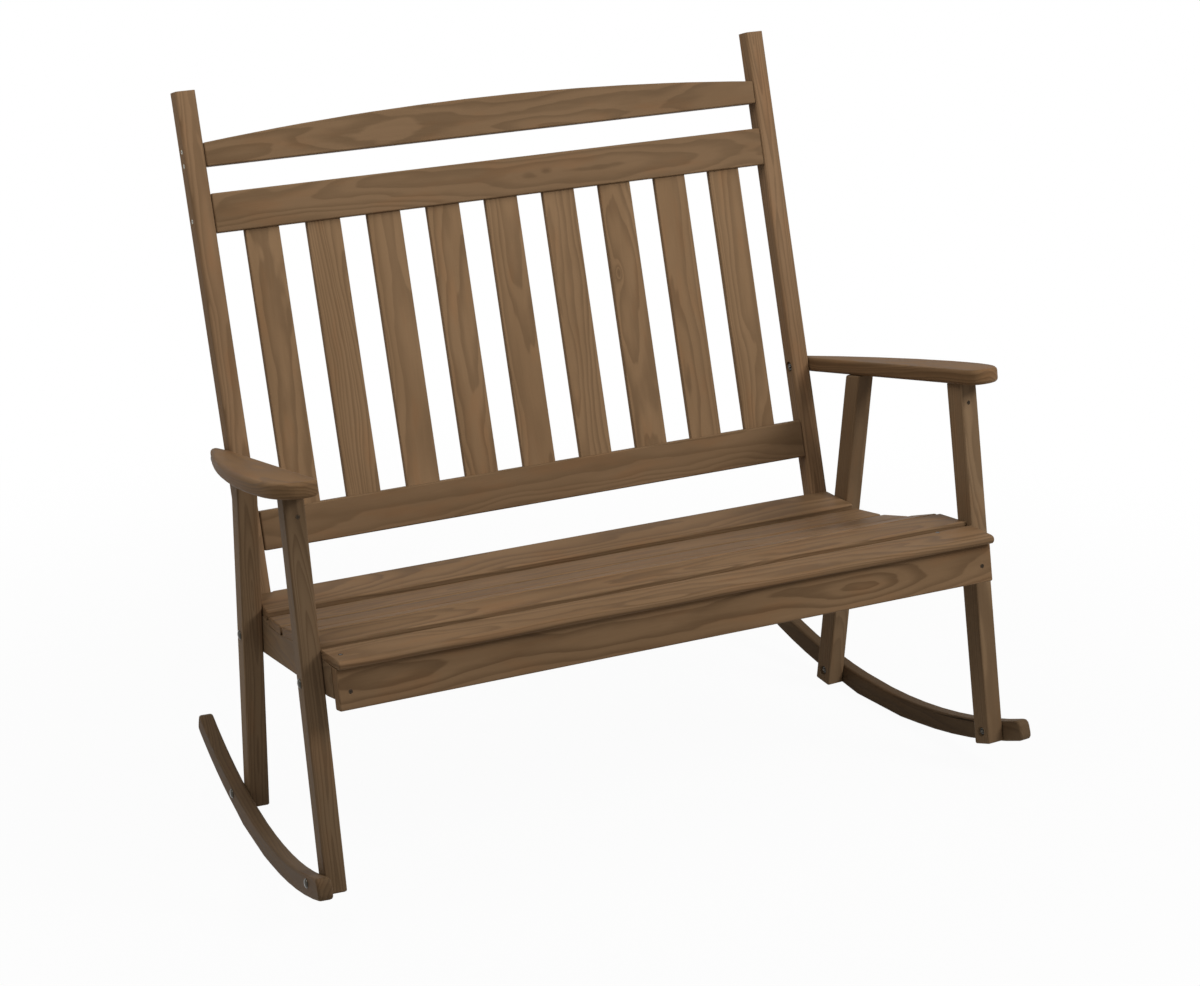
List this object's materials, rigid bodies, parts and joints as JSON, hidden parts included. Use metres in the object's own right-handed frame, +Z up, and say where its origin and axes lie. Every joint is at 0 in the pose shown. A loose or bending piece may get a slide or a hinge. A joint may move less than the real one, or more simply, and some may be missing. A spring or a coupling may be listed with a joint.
{
  "type": "rocking bench",
  "caption": "Slatted wooden rocking bench with an arched crest rail, flat armrests, a dished seat and curved rockers.",
  "frame": {"origin": "under the middle of the bench's bounding box, on the ground", "axes": "+X along the seat, to the sitter's left, +Y towards the back, +Z up"},
  "size_m": [1.2986, 0.7868, 1.143],
  "materials": {
    "back_wood": "satin",
    "seat_wood": "satin",
    "frame_wood": "satin",
    "zinc_steel": "satin"
  },
  "bodies": {
    "root": {"back_post_left": "back_wood", "back_post_right": "back_wood", "back_rail_lower": "back_wood", "back_rail_upper": "back_wood", "crest_rail": "back_wood", "back_slat_1": "back_wood", "back_slat_2": "back_wood", "back_slat_3": "back_wood", "back_slat_4": "back_wood", "back_slat_5": "back_wood", "back_slat_6": "back_wood", "back_slat_7": "back_wood", "back_slat_8": "back_wood", "back_slat_9": "back_wood", "seat_slat_1": "seat_wood", "seat_slat_2": "seat_wood", "seat_slat_3": "seat_wood", "seat_slat_4": "seat_wood", "seat_slat_5": "seat_wood", "seat_slat_6": "seat_wood", "seat_apron": "seat_wood", "seat_centre_support": "seat_wood", "front_leg_left": "frame_wood", "front_leg_right": "frame_wood", "rear_leg_left": "frame_wood", "rear_leg_right": "frame_wood", "rocker_left": "frame_wood", "rocker_right": "frame_wood", "seat_side_rail_left": "frame_wood", "seat_side_rail_right": "frame_wood", "armrest_left": "frame_wood", "armrest_right": "frame_wood", "front_rocker_bolt_left": "zinc_steel", "front_rocker_bolt_right": "zinc_steel", "front_rocker_nut_left": "zinc_steel", "front_rocker_nut_right": "zinc_steel", "rear_rocker_bolt_left": "zinc_steel", "rear_rocker_bolt_right": "zinc_steel", "rear_rocker_nut_left": "zinc_steel", "rear_rocker_nut_right": "zinc_steel", "front_seat_bolt_left": "zinc_steel", "front_seat_bolt_right": "zinc_steel", "front_seat_nut_left": "zinc_steel", "front_seat_nut_right": "zinc_steel", "rear_seat_bolt_left": "zinc_steel", "rear_seat_bolt_right": "zinc_steel", "rear_seat_nut_left": "zinc_steel", "rear_seat_nut_right": "zinc_steel", "back_seat_bolt_left": "zinc_steel", "back_seat_bolt_right": "zinc_steel", "back_seat_nut_left": "zinc_steel", "back_seat_nut_right": "zinc_steel", "arm_bolt_left": "zinc_steel", "arm_bolt_right": "zinc_steel", "arm_nut_left": "zinc_steel", "arm_nut_right": "zinc_steel"}
  },
  "joints": []
}
